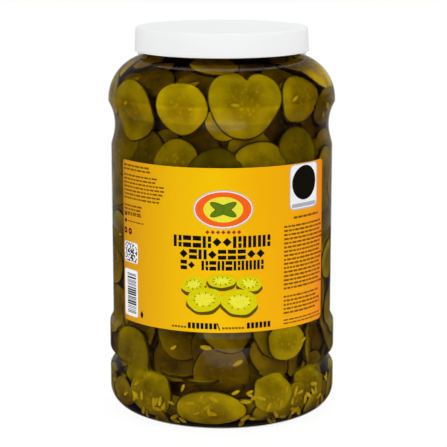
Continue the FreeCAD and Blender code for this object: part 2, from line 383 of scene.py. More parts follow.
@dataclass(frozen=True)
class PickleFlesh:
    """Cured cucumber: olive flesh, darker round the seeds, in a thin near-black skin.

    A level band above the waist is brighter by lens_gain. It stands in for the light that
    the wall gathers there, which the straight-through wall of this model can't do.
    """

    flesh: str = "A08A04"
    core: str = "8E7702"
    seed: str = "AA9208"
    skin: str = "463803"
    skin_share: float = 0.95
    seed_mm: float = 3.2
    lens_foot: float = 201.0
    lens_top: float = 212.0
    lens_gain: float = 1.4

    def build(self) -> bpy.types.Material:
        """Pattern on each slice's own map, whose unit is the slice's radius."""
        material, tree = new_material("cured_cucumber_slice")
        chart = add_node(tree, "ShaderNodeUVMap", {"uv_map": PickleSlices.CHART})
        centred = add_node(tree, "ShaderNodeVectorMath", {"operation": "SUBTRACT"},
                           {0: chart.outputs[0], 1: (0.5, 0.5, 0.0)})
        disc = add_node(tree, "ShaderNodeVectorMath", {"operation": "SCALE"},
                        {0: centred.outputs[0], "Scale": 2.0})
        reach = add_node(tree, "ShaderNodeVectorMath", {"operation": "LENGTH"},
                         {0: disc.outputs[0]})
        tone = add_node(tree, "ShaderNodeAttribute", {"attribute_name": PickleSlices.TONE})
        place = add_node(tree, "ShaderNodeTexCoord")
        blotch = add_node(tree, "ShaderNodeTexNoise",
                          inputs={"Vector": place.outputs["Object"],
                                  "Scale": 1 / (13 * MM), "Detail": 4.0})
        grain = add_node(tree, "ShaderNodeTexVoronoi", {"feature": "SMOOTH_F1"},
                         {"Vector": place.outputs["Object"],
                          "Scale": 1 / (self.seed_mm * MM), "Smoothness": 0.4})
        core = add_node(tree, "ShaderNodeMapRange", {"interpolation_type": "SMOOTHSTEP"},
                        {"Value": reach.outputs["Value"], 1: 0.35, 2: 0.72, 3: 1.0, 4: 0.0})
        seeds = add_node(tree, "ShaderNodeMapRange", {"interpolation_type": "SMOOTHSTEP"},
                         {"Value": grain.outputs["Distance"], 1: 0.18, 2: 0.42,
                          3: 0.75, 4: 0.0})
        seedy = add_node(tree, "ShaderNodeMath", {"operation": "MULTIPLY"},
                         {0: seeds.outputs[0], 1: core.outputs[0]})
        skin = add_node(tree, "ShaderNodeMapRange", {"interpolation_type": "SMOOTHSTEP"},
                        {"Value": reach.outputs["Value"], 1: self.skin_share - 0.02,
                         2: self.skin_share + 0.03, 3: 0.0, 4: 1.0})
        inner = add_node(tree, "ShaderNodeMix", {"data_type": "RGBA"},
                         {0: core.outputs[0], 6: srgb(self.flesh), 7: srgb(self.core)})
        dotted = add_node(tree, "ShaderNodeMix", {"data_type": "RGBA"},
                          {0: seedy.outputs[0], 6: inner.outputs[2], 7: srgb(self.seed)})
        shade = add_node(tree, "ShaderNodeMapRange", inputs={
            "Value": blotch.outputs[0], 1: 0.3, 2: 0.7, 3: 0.62, 4: 1.26})
        # Each slice's tone scales its colour; for some slices it holds painted light and shade
        # as well as their own cure.
        level = add_node(tree, "ShaderNodeMath", {"operation": "MULTIPLY"},
                         {0: shade.outputs[0], 1: tone.outputs["Fac"]})
        split = add_node(tree, "ShaderNodeSeparateXYZ", inputs={0: place.outputs["Object"]})
        rise = add_node(tree, "ShaderNodeMapRange", {"interpolation_type": "SMOOTHSTEP"},
                        {"Value": split.outputs[2], 1: (self.lens_foot - 1) * MM,
                         2: (self.lens_foot + 1) * MM, 3: 1.0, 4: self.lens_gain})
        fall = add_node(tree, "ShaderNodeMapRange", {"interpolation_type": "SMOOTHSTEP"},
                        {"Value": split.outputs[2], 1: (self.lens_top - 1) * MM,
                         2: (self.lens_top + 1) * MM, 3: 1.0, 4: 1 / self.lens_gain})
        gather = add_node(tree, "ShaderNodeMath", {"operation": "MULTIPLY"},
                          {0: rise.outputs[0], 1: fall.outputs[0]})
        gathered = add_node(tree, "ShaderNodeMath", {"operation": "MULTIPLY"},
                            {0: level.outputs[0], 1: gather.outputs[0]})
        toned = add_node(tree, "ShaderNodeVectorMath", {"operation": "SCALE"},
                         {0: dotted.outputs[2], "Scale": gathered.outputs[0]})
        peeled = add_node(tree, "ShaderNodeMix", {"data_type": "RGBA"},
                          {0: skin.outputs[0], 6: toned.outputs[0], 7: srgb(self.skin)})
        bump = add_node(tree, "ShaderNodeBump", inputs={
            "Strength": 0.35, "Distance": 0.6 * MM, "Height": grain.outputs["Distance"]})
        body = add_node(tree, "ShaderNodeBsdfPrincipled", inputs={
            "Base Color": peeled.outputs[2], "Roughness": 0.55, "IOR": 1.04,
            "Normal": bump.outputs[0]})
        output(tree, body.outputs[0])
        return material


@dataclass(frozen=True)
class PackedDepth:
    """Slices pressed together out of reach of the light: deep olive brown."""

    dark: str = "7C6808"
    light: str = "B09812"
    patch_mm: float = 14.0

    def build(self) -> bpy.types.Material:
        """Olive mottled in patches about 14 mm across."""
        material, tree = new_material("packed_slices_in_shade")
        place = add_node(tree, "ShaderNodeTexCoord")
        patch = add_node(tree, "ShaderNodeTexNoise", inputs={
            "Vector": place.outputs["Object"], "Scale": 1 / (self.patch_mm * MM), "Detail": 3.0})
        colour = add_node(tree, "ShaderNodeMix", {"data_type": "RGBA"},
                          {0: patch.outputs[0], 6: srgb(self.dark), 7: srgb(self.light)})
        body = add_node(tree, "ShaderNodeBsdfPrincipled", inputs={
            "Base Color": colour.outputs[2], "Roughness": 0.7, "IOR": 1.1})
        output(tree, body.outputs[0])
        return material


@dataclass(frozen=True)
class SeedCoat:
    """Cucumber seed: pale straw coat, smooth, catching more light than the flesh."""

    pale: str = "CBAA14"
    dull: str = "A08406"

    def build(self) -> bpy.types.Material:
        """Straw colour that shifts from seed to seed."""
        material, tree = new_material("cucumber_seed_coat")
        place = add_node(tree, "ShaderNodeTexCoord")
        shift = add_node(tree, "ShaderNodeTexNoise", inputs={
            "Vector": place.outputs["Object"], "Scale": 1 / (7 * MM), "Detail": 1.0})
        colour = add_node(tree, "ShaderNodeMix", {"data_type": "RGBA"},
                          {0: shift.outputs[0], 6: srgb(self.pale), 7: srgb(self.dull)})
        body = add_node(tree, "ShaderNodeBsdfPrincipled", inputs={
            "Base Color": colour.outputs[2], "Roughness": 0.4, "IOR": 1.05})
        output(tree, body.outputs[0])
        return material


@dataclass(frozen=True)
class MouldedPolypropylene:
    """White polypropylene, moulded: even, faintly pebbled, soft sheen."""

    colour: str = "F4F5F5"
    pebble_mm: float = 0.9

    def build(self) -> bpy.types.Material:
        """White with a fine moulded grain that only roughens the sheen."""
        material, tree = new_material("polypropylene_moulded_white")
        place = add_node(tree, "ShaderNodeTexCoord")
        grain = add_node(tree, "ShaderNodeTexNoise", inputs={
            "Vector": place.outputs["Object"], "Scale": 1 / (self.pebble_mm * MM),
            "Detail": 2.0})
        sheen = add_node(tree, "ShaderNodeMapRange", inputs={
            "Value": grain.outputs[0], 1: 0.3, 2: 0.7, 3: 0.36, 4: 0.5})
        bump = add_node(tree, "ShaderNodeBump", inputs={
            "Strength": 0.12, "Distance": 0.05 * MM, "Height": grain.outputs[0]})
        body = add_node(tree, "ShaderNodeBsdfPrincipled", inputs={
            "Base Color": srgb(self.colour), "Roughness": sheen.outputs[0], "IOR": 1.49,
            "Specular IOR Level": 0.15, "Normal": bump.outputs[0]})
        output(tree, body.outputs[0])
        return material


@dataclass(frozen=True)
class PrintedFilm:
    """Polypropylene label film, gravure printed: yellow at the middle, orange at the edges."""

    stops: tuple[tuple[float, str], ...] = (
        (0.0, "BC7C0E"), (0.03, "CC9006"), (0.16, "DEA202"), (0.30, "E8B301"),
        (0.47, "EDBB01"), (0.62, "EAAC01"), (0.80, "EAA401"), (0.93, "E99407"),
        (1.0, "E57D09"))

    def build(self) -> bpy.types.Material:
        """Colour ramp across the label's own map, under a satin varnish."""
        material, tree = new_material("polypropylene_film_printed")
        chart = add_node(tree, "ShaderNodeUVMap", {"uv_map": Label.CHART})
        across = add_node(tree, "ShaderNodeSeparateXYZ", inputs={0: chart.outputs[0]})
        ramp = add_node(tree, "ShaderNodeValToRGB", inputs={0: across.outputs[0]})
        bands = ramp.color_ramp.elements
        bands[0].position, bands[0].color = self.stops[0][0], srgb(self.stops[0][1])
        bands[1].position, bands[1].color = self.stops[-1][0], srgb(self.stops[-1][1])
        for position, code in self.stops[1:-1]:
            bands.new(position).color = srgb(code)
        place = add_node(tree, "ShaderNodeTexCoord")
        wrinkle = add_node(tree, "ShaderNodeTexNoise", inputs={
            "Vector": place.outputs["Object"], "Scale": 1 / (30 * MM), "Detail": 1.0})
        bump = add_node(tree, "ShaderNodeBump", inputs={
            "Strength": 0.15, "Distance": 0.3 * MM, "Height": wrinkle.outputs[0]})
        body = add_node(tree, "ShaderNodeBsdfPrincipled", inputs={
            "Base Color": ramp.outputs[0], "Roughness": 0.5, "IOR": 1.45,
            "Specular IOR Level": 0.06, "Normal": bump.outputs[0]})
        output(tree, body.outputs[0])
        return material


class Ink(Enum):
    """Printing inks of the label, by what they draw."""

    TITLE = ("ink_black", "15110C")
    SMALL = ("ink_brown", "7A4C08")
    WHITE = ("ink_white", "E9EAEE")
    GREY = ("ink_grey", "A9AAB0")
    LILAC = ("ink_lilac", "B9B4C4")
    ORANGE = ("ink_orange", "F0601A")
    RED = ("ink_red", "A3261A")
    GREEN = ("ink_green", "5C7A12")
    FLESH = ("ink_flesh", "D2C800")
    PALE = ("ink_pale", "E3DC3A")
    RIND = ("ink_rind", "5A4A08")

    def build(self) -> bpy.types.Material:
        """Gravure ink: flat colour, broken a little by the screen it was printed with."""
        name, code = self.value
        material, tree = new_material(name)
        place = add_node(tree, "ShaderNodeTexCoord")
        screen = add_node(tree, "ShaderNodeTexNoise", inputs={
            "Vector": place.outputs["Object"], "Scale": 1 / (1.2 * MM), "Detail": 1.0})
        shade = add_node(tree, "ShaderNodeMapRange", inputs={
            "Value": screen.outputs[0], 1: 0.3, 2: 0.7, 3: 0.92, 4: 1.04})
        colour = add_node(tree, "ShaderNodeVectorMath", {"operation": "SCALE"},
                          {0: srgb(code)[:3], "Scale": shade.outputs[0]})
        body = add_node(tree, "ShaderNodeBsdfPrincipled", inputs={
            "Base Color": colour.outputs[0], "Roughness": 0.5, "IOR": 1.45,
            "Specular IOR Level": 0.06})
        output(tree, body.outputs[0])
        return material


# ---------------------------------------------------------------- repeated things


def node_group(name: str, sizes: Sequence[str]) -> bpy.types.NodeTree:
    """Geometry node tree with a mesh input and a named input for each size.

    Args:
        name: name of the tree.
        sizes: names of its size inputs, which bake() fills in.

    Returns:
        The tree, with its Group Input and Group Output nodes in place.
    """
    tree = bpy.data.node_groups.new(name, "GeometryNodeTree")
    face = tree.interface
    face.new_socket("Geometry", in_out="INPUT", socket_type="NodeSocketGeometry")
    for size in sizes:
        face.new_socket(size, in_out="INPUT", socket_type="NodeSocketFloat")
    face.new_socket("Geometry", in_out="OUTPUT", socket_type="NodeSocketGeometry")
    tree.nodes.new("NodeGroupInput")
    tree.nodes.new("NodeGroupOutput")
    return tree


def bake(name: str, points: np.ndarray, facts: dict[str, np.ndarray],
         tree: bpy.types.NodeTree, sizes: dict[str, float]) -> bpy.types.Object:
    """Run a geometry node tree on points and keep its result as a plain mesh.

    Args:
        name: name of the piece.
        points: one row for each thing to place, metres.
        facts: values for each point, by attribute name.
        tree: the tree that makes the things.
        sizes: values of the tree's inputs by name.

    Returns:
        The finished piece, at the origin, with no modifier left.
    """
    cloud = bpy.data.meshes.new(name + "_points")
    cloud.from_pydata(points.tolist(), [], [])
    for key, values in facts.items():
        kind = "FLOAT_VECTOR" if values.ndim == 2 else "FLOAT"
        column = "vector" if values.ndim == 2 else "value"
        fact = cloud.attributes.new(key, kind, "POINT")
        fact.data.foreach_set(column, values.astype(np.float32).ravel())
    source = bpy.data.objects.new(name + "_source", cloud)
    bpy.context.scene.collection.objects.link(source)
    modifier = source.modifiers.new("Place", "NODES")
    modifier.node_group = tree
    for item in tree.interface.items_tree:
        if item.in_out == "INPUT" and item.name in sizes:
            modifier[item.identifier] = sizes[item.name]
    graph = bpy.context.evaluated_depsgraph_get()
    mesh = bpy.data.meshes.new_from_object(source.evaluated_get(graph))
    mesh.name = name
    source.modifiers.remove(modifier)
    bpy.data.objects.remove(source)
    piece = bpy.data.objects.new(name, mesh)
    bpy.context.scene.collection.objects.link(piece)
    return piece


def seed_tree(coat: bpy.types.Material) -> bpy.types.NodeTree:
    """Tree that puts a flat, pointed seed on each point, by its turn and growth."""
    tree = node_group("place_seeds", ("Length", "Width", "Thickness"))
    given, result = tree.nodes["Group Input"], tree.nodes["Group Output"]
    ball = add_node(tree, "GeometryNodeMeshUVSphere",
                    inputs={"Segments": 10, "Rings": 7, "Radius": 0.5})
    size = add_node(tree, "ShaderNodeCombineXYZ", inputs={
        0: given.outputs["Width"], 1: given.outputs["Thickness"],
        2: given.outputs["Length"]})
    seed = add_node(tree, "GeometryNodeTransform",
                    inputs={"Geometry": ball.outputs[0], "Scale": size.outputs[0]})
    turn = add_node(tree, "GeometryNodeInputNamedAttribute", {"data_type": "FLOAT_VECTOR"},
                    {"Name": "turn"})
    grow = add_node(tree, "GeometryNodeInputNamedAttribute", {"data_type": "FLOAT_VECTOR"},
                    {"Name": "grow"})
    placed = add_node(tree, "GeometryNodeInstanceOnPoints", inputs={
        "Points": given.outputs[0], "Instance": seed.outputs[0],
        "Rotation": turn.outputs[0], "Scale": grow.outputs[0]})
    real = add_node(tree, "GeometryNodeRealizeInstances",
                    inputs={"Geometry": placed.outputs[0]})
    soft = add_node(tree, "GeometryNodeSetShadeSmooth", inputs={0: real.outputs[0]})
    dressed = add_node(tree, "GeometryNodeSetMaterial",
                       inputs={"Geometry": soft.outputs[0], "Material": coat})
    tree.links.new(dressed.outputs[0], result.inputs[0])
    return tree


def print_tree(ink: bpy.types.Material) -> bpy.types.NodeTree:
    """Tree that prints a thin block on each point and wraps the flat layout round the jar.

    The flat layout has the arc length in X, the layer in -Y and the height in Z. Each
    block's size and lean come from its point's attributes, and its five columns of
    vertices let it follow the curve.
    """
    tree = node_group(f"print_{ink.name}", ("Radius", "Relief"))
    given, result = tree.nodes["Group Input"], tree.nodes["Group Output"]
    block = add_node(tree, "GeometryNodeMeshCube", inputs={
        "Size": (1.0, 1.0, 1.0), "Vertices X": 5, "Vertices Y": 2, "Vertices Z": 2})
    spread_out = add_node(tree, "GeometryNodeInputNamedAttribute",
                          {"data_type": "FLOAT_VECTOR"}, {"Name": "block"})
    lean = add_node(tree, "GeometryNodeInputNamedAttribute",
                    {"data_type": "FLOAT_VECTOR"}, {"Name": "lean"})
    placed = add_node(tree, "GeometryNodeInstanceOnPoints", inputs={
        "Points": given.outputs[0], "Instance": block.outputs[0],
        "Rotation": lean.outputs[0], "Scale": spread_out.outputs[0]})
    real = add_node(tree, "GeometryNodeRealizeInstances",
                    inputs={"Geometry": placed.outputs[0]})
    flat = add_node(tree, "GeometryNodeInputPosition")
    split = add_node(tree, "ShaderNodeSeparateXYZ", inputs={0: flat.outputs[0]})
    angle = add_node(tree, "ShaderNodeMath", {"operation": "DIVIDE"},
                     {0: split.outputs[0], 1: given.outputs["Radius"]})
    rise = add_node(tree, "ShaderNodeMath", {"operation": "MULTIPLY"},
                    {0: split.outputs[1], 1: given.outputs["Relief"]})
    radius = add_node(tree, "ShaderNodeMath", {"operation": "SUBTRACT"},
                      {0: given.outputs["Radius"], 1: rise.outputs[0]})
    sine = add_node(tree, "ShaderNodeMath", {"operation": "SINE"}, {0: angle.outputs[0]})
    cosine = add_node(tree, "ShaderNodeMath", {"operation": "COSINE"}, {0: angle.outputs[0]})
    right = add_node(tree, "ShaderNodeMath", {"operation": "MULTIPLY"},
                     {0: radius.outputs[0], 1: sine.outputs[0]})
    back = add_node(tree, "ShaderNodeMath", {"operation": "MULTIPLY"},
                    {0: radius.outputs[0], 1: cosine.outputs[0]})
    front = add_node(tree, "ShaderNodeMath", {"operation": "MULTIPLY"},
                     {0: back.outputs[0], 1: -1.0})
    around = add_node(tree, "ShaderNodeCombineXYZ", inputs={
        0: right.outputs[0], 1: front.outputs[0], 2: split.outputs[2]})
    wrapped = add_node(tree, "GeometryNodeSetPosition", inputs={
        "Geometry": real.outputs[0], "Position": around.outputs[0]})
    dressed = add_node(tree, "GeometryNodeSetMaterial",
                       inputs={"Geometry": wrapped.outputs[0], "Material": ink})
    tree.links.new(dressed.outputs[0], result.inputs[0])
    return tree


# ---------------------------------------------------------------- the jar


@dataclass
class Jar:
    """Blown jar: grooved foot, recessed label panel, waist, round shoulder, screw neck."""

    wall: float = 0.8
    foot_inner_radius: float = 50.0
    base_rise: float = 3.0
    base_rise_radius: float = 44.0
    band_radius: float = 76.4
    heel_round: float = 13.6
    groove_bottom: float = 28.0
    groove_middle: float = 33.0
    groove_top: float = 40.0
    groove_radius: float = 70.2
    belt_top: float = 58.0
    panel_bottom: float = 62.6
    panel_radius: float = 74.0
    panel_top: float = 179.0
    waist_radius: float = 69.4
    waist_height: float = 196.4
    waist_round: float = 31.0
    shoulder_radius: float = 75.5
    shoulder_bottom: float = 208.0
    shoulder_top: float = 229.2
    shoulder_round: float = 29.6
    neck_root_radius: float = 56.2
    neck_root: float = 236.9
    neck_radius: float = 53.4
    neck_foot: float = 237.8
    neck_wall: float = 2.0
    bead_radius: float = 55.6
    bead_bottom: float = 238.4
    bead_top: float = 240.2
    segments: int = 224
    rim: float = field(init=False)

    def __post_init__(self) -> None:
        """Take the rim's height from the frame."""
        self.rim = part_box("jar")[1].z / MM

    def body_corners(self) -> list[Corner]:
        """Corners of the outside from the axis at the foot to the neck's root."""
        return [
            Corner(0, self.base_rise),
            Corner(self.base_rise_radius, self.base_rise, 3.0),
            Corner(self.foot_inner_radius, 0, 2.0),
            Corner(self.band_radius, 0, self.heel_round),
            Corner(self.band_radius, self.groove_bottom, 3.0),
            Corner(self.groove_radius, self.groove_middle, 1.2),
            Corner(self.band_radius, self.groove_top, 3.0),
            Corner(self.band_radius, self.belt_top, 3.0),
            Corner(self.panel_radius, self.panel_bottom, 2.0),
            Corner(self.panel_radius, self.panel_top, 4.0),
            Corner(self.waist_radius, self.waist_height, self.waist_round),
            Corner(self.shoulder_radius, self.shoulder_bottom, 2.0),
            Corner(self.shoulder_radius, self.shoulder_top, self.shoulder_round),
            Corner(self.neck_root_radius, self.neck_root),
        ]

    def outside(self) -> np.ndarray:
        """Outside of the body as an outline."""
        return spread(rounded(self.body_corners(), 5.0), 6.0)

    def build(self, plastic: BlownPet) -> bpy.types.Object:
        """Make the hollow shell, open at the rim under the lid.

        Args:
            plastic: finish of the outer and the wetted face.

        Returns:
            The jar.
        """
        body = self.outside()
        bead = [Corner(self.neck_radius, self.neck_foot),
                Corner(self.neck_radius, self.bead_bottom),
                Corner(self.bead_radius, self.bead_bottom, 0.4),
                Corner(self.bead_radius, self.bead_top, 0.4),
                Corner(self.neck_radius, self.bead_top),
                Corner(self.neck_radius, self.rim)]
        bore = self.neck_radius - self.neck_wall
        cavity = inset(body, self.wall)
        cavity = cavity[cavity[:, 1] < self.neck_root - self.wall]
        inner = np.vstack([cavity, [[bore, self.neck_root]], [[bore, self.rim]]])
        outer = np.vstack([body, rounded(bead, 20.0)])
        outline = np.vstack([outer, inner[::-1]])
        outer_count = len(outer)
        shell = lathe("jar_shell", outline, self.segments,
                      [plastic.outer(), plastic.wetted()],
                      lambda k: 0 if k < outer_count else 1)
        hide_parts("jar")
        ride(shell)
        return shell


@dataclass
class Lining:
    """Inside of the wall as a smooth surface that slices and seeds can be laid against.

    A place on it is an angle from the front and a run up the wall; depth goes inwards.
    """

    jar: Jar
    clearance: float = 0.35

    def __post_init__(self) -> None:
        """Work out the lining's outline and the wall's real inside."""
        inside = inset(self.jar.outside(), self.jar.wall)
        upward = inside[inside[:, 0] > self.jar.foot_inner_radius]
        highest = np.maximum.accumulate(upward[:, 1])
        keep = np.concatenate([[True], upward[1:, 1] > highest[:-1] + 1e-4])
        self.wall_height, self.wall_radius = upward[keep, 1], upward[keep, 0]
        jar, gap = self.jar, self.jar.wall + self.clearance
        smooth = rounded([
            Corner(0, jar.base_rise + gap),
            Corner(jar.band_radius - gap, jar.base_rise + gap, 15.0),
            Corner(jar.band_radius - gap - 0.6, jar.belt_top, 20.0),
            Corner(jar.panel_radius - gap, jar.panel_bottom + 12, 20.0),
            Corner(jar.panel_radius - gap, jar.panel_top - 2, 20.0),
            Corner(jar.waist_radius - gap - 0.9, jar.waist_height, 30.0),
            Corner(jar.shoulder_radius - gap, jar.shoulder_bottom + 4, 5.0),
            Corner(jar.shoulder_radius - gap, jar.shoulder_top, 17.0),
            Corner(0, 243.5)], 4.0)
        smooth = spread(smooth, 1.5)
        runs = np.concatenate([[0], np.cumsum(np.linalg.norm(np.diff(smooth, axis=0), axis=1))])
        along = np.gradient(smooth, axis=0)
        along /= np.linalg.norm(along, axis=1, keepdims=True)
        for _ in range(40):
            along[1:-1] = (along[:-2] + 2 * along[1:-1] + along[2:]) / 4
        along /= np.linalg.norm(along, axis=1, keepdims=True)
        self.line, self.runs, self.along = smooth, runs, along

    def run_at(self, height: float) -> float:
        """Run up the wall at which the lining reaches a height on its upright side."""
        upright = self.line[:, 0] > 30
        return float(np.interp(height, self.line[upright, 1], self.runs[upright]))

    def radius_at(self, height: np.ndarray) -> np.ndarray:
        """Largest radius that keeps clear of the real wall at each height."""
        return np.interp(height, self.wall_height, self.wall_radius) - self.clearance

    def lay(self, angle: float, run: float, local: np.ndarray) -> np.ndarray:
        """Lay local points against the wall.

        Args:
            angle: degrees from the front, positive to the right.
            run: run up the wall of the local origin.
            local: rows of rightward, upward and inward distance.

        Returns:
            Points in the frame, millimetres.
        """
        up = np.clip(run + local[:, 1], 0, self.runs[-1])
        radius = np.interp(up, self.runs, self.line[:, 0])
        height = np.interp(up, self.runs, self.line[:, 1])
        slope_r = np.interp(up, self.runs, self.along[:, 0])
        slope_z = np.interp(up, self.runs, self.along[:, 1])
        radius = radius - slope_z * local[:, 2]
        height = height + slope_r * local[:, 2]
        height = np.clip(height, self.line[0, 1], self.jar.neck_root + 2)
        radius = np.minimum(radius, self.radius_at(height))
        around = max(float(np.interp(run, self.runs, self.line[:, 0])), 20.0)
        turn = math.radians(angle) + local[:, 0] / around
        return around_axis(radius, turn, height)


@dataclass
class Chip:
    """One pickle slice: where it lies, how it is turned, and its outline."""

    angle: float
    run: float
    radius: float
    depth: float = 0.0
    stretch: float = 1.0
    spin: float = 0.0
    lean: float = 0.0
    tip: float = 0.0
    notch: float = 0.0
    notch_at: float = 90.0
    # Scale on the slice's colour: its own cure, and for some listed front slices also painted
    # light and shade.
    tone: float = 1.0
    thickness: float = 4.2
    around: int = 24


@dataclass
class PickleSlices:
    """Slices packed against the wall in layers, each a thin disc with a rounded rim.

    RINGS gives the share of the radius and of the half thickness at each ring of a face.
    """

    CHART = "chip_chart"
    TONE = "chip_tone"
    STRIDES = (0.7548776662, 0.5698402910)
    RINGS = ((0.32, 0.92), (0.6, 0.95), (0.86, 1.0), (0.97, 0.8), (1.0, 0.4))

    lining: Lining
    fine_around: int = 56
    foot_count: int = 19
    seed: int = 11
    edge_seed: int = 4
    fill_count: int = 2600
    least_radius: float = 14.0
    most_radius: float = 23.0
    deepest: float = 11.0
    lap: float = 1.7
    top_margin: float = 42.0
    lowest: float = 8.0
    # Above this height the filled-in slices get painted light: their tone is raised, more the
    # higher they lie.
    crown_height: float = 223.0
    stray: float = 4.0
    tilted_share: float = 0.16
    tilted: float = 34.0
    flat: float = 11.0
    most_triangles: int = 198000
    chips: list[Chip] = field(default_factory=list)

    def feature(self, angle: float, height: float, radius: float, **facts: float) -> None:
        """Put a slice at a chosen angle and height on the wall."""
        facts.setdefault("around", self.fine_around)
        self.chips.append(Chip(angle, self.lining.run_at(height), radius, **facts))

    def arrange(self) -> None:
        """Lay the slices that show at the front, then fill in behind and around them."""
        # The tones given to the front slices below carry both each slice's own cure and painted
        # light and shade; those round the waist are raised where the wall would gather light.
        # Shoulder, front: one large notched slice, with smaller ones beside it.
        self.feature(12, 217, 25, stretch=1.08, notch=0.5, notch_at=86, spin=-4, tone=1.04)
        self.feature(-21, 211, 18.5, depth=0.6, tone=1.34)
        self.feature(-55, 207, 22, depth=1.5, tone=0.94)
        self.feature(46, 216, 20, depth=1.0, stretch=0.94, lean=9, tone=0.98)
        self.feature(60, 213, 21, depth=6.5, lean=20, tone=1.1)
        self.feature(1, 202, 12, depth=1.6, tone=1.3)
        self.feature(-14, 230, 15, depth=4.5, tone=0.95, tip=-14)
        self.feature(-42, 229, 17, depth=5, tone=0.85, tip=-10)
        self.feature(36, 231, 15, depth=4, tone=0.95, tip=-16)
        # Between waist and label.
        self.feature(-45, 181, 18, depth=3.0, stretch=0.8, tone=0.5)
        self.feature(-24, 175, 17, depth=1.2, tone=0.92)
        self.feature(-3, 168, 19, depth=0.5, tone=0.3)
        self.feature(20, 170, 21, depth=0.8, tone=1.0)
        self.feature(44, 181, 17, depth=1.0, tone=0.52, notch=0.2, notch_at=200)
        # Belt and foot.
        self.feature(35, 58, 15, depth=0.2, stretch=0.86, tone=1.15)
        self.feature(-25, 44, 19, depth=3.5, tip=62, spin=20, tone=0.95)
        self.feature(-12, 38, 18, depth=4.0, tip=66, spin=-14, tone=0.9)
        self.feature(27, 24, 14.5, depth=0.4, tone=1.05)
        self.feature(-54, 45, 19, depth=0.8, tone=0.72)
        self.feature(-40, 20, 18, depth=0.5, tone=0.85)
        self.feature(-6, 14, 24, depth=0.3, stretch=0.6, tone=1.2)
        self.feature(58, 50, 17, depth=2.0, lean=30, tone=0.85)
        self.feature(52, 22, 17, depth=1.4, tone=0.8)
        # Flat against the wall at both sides of the label, and round the foot.
        draw = random.Random(self.edge_seed)
        for side in (-76, 76):
            for height in (70, 98, 124, 153, 181, 210):
                self.feature(side + draw.uniform(-9, 9), height + draw.uniform(-6, 6),
                             draw.uniform(15, 23), depth=draw.uniform(0.3, 2.4),
                             stretch=draw.uniform(0.78, 1.1), spin=draw.uniform(0, 360),
                             lean=draw.uniform(-9, 9), tip=draw.uniform(-9, 9),
                             tone=draw.uniform(0.72, 1.12), around=24)
        for k in range(self.foot_count):
            self.feature(360 * k / self.foot_count - 180 + draw.uniform(-6, 6),
                         draw.uniform(6, 15), draw.uniform(12, 19),
                         depth=draw.uniform(0.3, 1.9), stretch=draw.uniform(0.66, 1.0),
                         spin=draw.uniform(-12, 12), lean=draw.uniform(-9, 9),
                         tone=draw.uniform(0.8, 1.15), around=24)
        self.fill()

    def fill(self) -> None:
        """Scatter further slices, each pushed inwards behind those it overlaps."""
        draw = random.Random(self.seed)
        top = self.lining.runs[-1] - self.top_margin
        bottom = self.lining.run_at(self.lowest)
        crown = self.lining.run_at(self.crown_height)
        for turn in range(self.fill_count):
            if self.triangles() > self.most_triangles:
                break
            radius = draw.uniform(self.least_radius, self.most_radius)
            # Two steady strides that never fall in step spread the slices evenly.
            across, up = (turn * stride % 1 for stride in self.STRIDES)
            angle = across * 360 - 180 + draw.uniform(-self.stray, self.stray)
            run = bottom + up * (top - bottom) + draw.uniform(-self.stray, self.stray)
            tone = draw.uniform(0.7, 1.12)
            stretch = draw.uniform(0.85, 1.15)
            spin = draw.uniform(0, 360)
            stands = draw.random() < self.tilted_share
            most_lean, most_tip = (self.tilted, self.tilted + 10) if stands \
                else (self.flat, self.flat)
            lean = draw.uniform(-most_lean, most_lean)
            tip = draw.uniform(-most_tip, most_tip)
            notch = draw.choice([0.0, 0.0, 0.12, 0.2])
            # Painted light: slices near the top of the pack, shaded by the lid, are brightened
            # by raising their tone, more the higher they lie.
            if run > crown:
                tone += 0.75 + 0.9 * min(1.0, (run - crown) / 12)
            depth = self.depth_behind(angle, run, radius)
            if depth > self.deepest:
                continue
            self.chips.append(Chip(angle, run, radius, depth, stretch, spin, lean, tip,
                                   notch, draw.uniform(0, 360), tone))

    def depth_behind(self, angle: float, run: float, radius: float) -> float:
        """Depth at which a new slice lies clear behind the ones it would overlap."""
        depth = 0.2
        for chip in self.chips:
            turn = (angle - chip.angle + 180) % 360 - 180
            across = math.radians(turn) * self.lining.jar.panel_radius
            gap = math.hypot(across, run - chip.run)
            if gap < 0.8 * (radius + chip.radius):
                slack = 1.1 - gap / (radius + chip.radius)
                depth = max(depth, chip.depth + 2 * self.lap * slack)
        return depth

    def triangles(self) -> int:
        """Triangles that the slices laid so far come to."""
        return sum(chip.around * 2 * (2 * len(self.RINGS) - 1) for chip in self.chips)

    def shape(self, chip: Chip, number: int) -> tuple[np.ndarray, np.ndarray]:
        """Vertices of one slice, and their places on its chart.

        Args:
            chip: the slice.
            number: its number, which varies its waves.

        Returns:
            Local points in millimetres, and chart coordinates.
        """
        turns = np.linspace(0, 2 * math.pi, chip.around, endpoint=False)
        away = (np.degrees(turns) - chip.notch_at + 180) % 360 - 180
        outline = 1 - chip.notch * np.exp(-np.abs(away / 15.0) ** 1.4)
        outline = outline * (1 + 0.022 * np.sin(3 * turns + number)
                             + 0.014 * np.sin(5 * turns + 2.3 * number))
        rows, places = [], []
        half = chip.thickness / 2
        for side in (-1, 1):
            rows.append([0, 0, side * half * 0.9])
            places.append([0, 0])
            for share, rise in self.RINGS:
                x = share * outline * np.cos(turns)
                y = share * outline * np.sin(turns)
                rows += np.stack([x * chip.radius, y * chip.radius,
                                  np.full_like(x, side * rise * half)], axis=1).tolist()
                places += np.stack([share * np.cos(turns), share * np.sin(turns)],
                                   axis=1).tolist()
        points = np.array(rows)
        points[:, 2] += 0.5 * np.sin(points[:, 0] / 9 + number) \
            * np.cos(points[:, 1] / 11 + 2 * number) * np.abs(points[:, 0]) / chip.radius
        return self.turned(chip, points), np.array(places) / 2 + 0.5

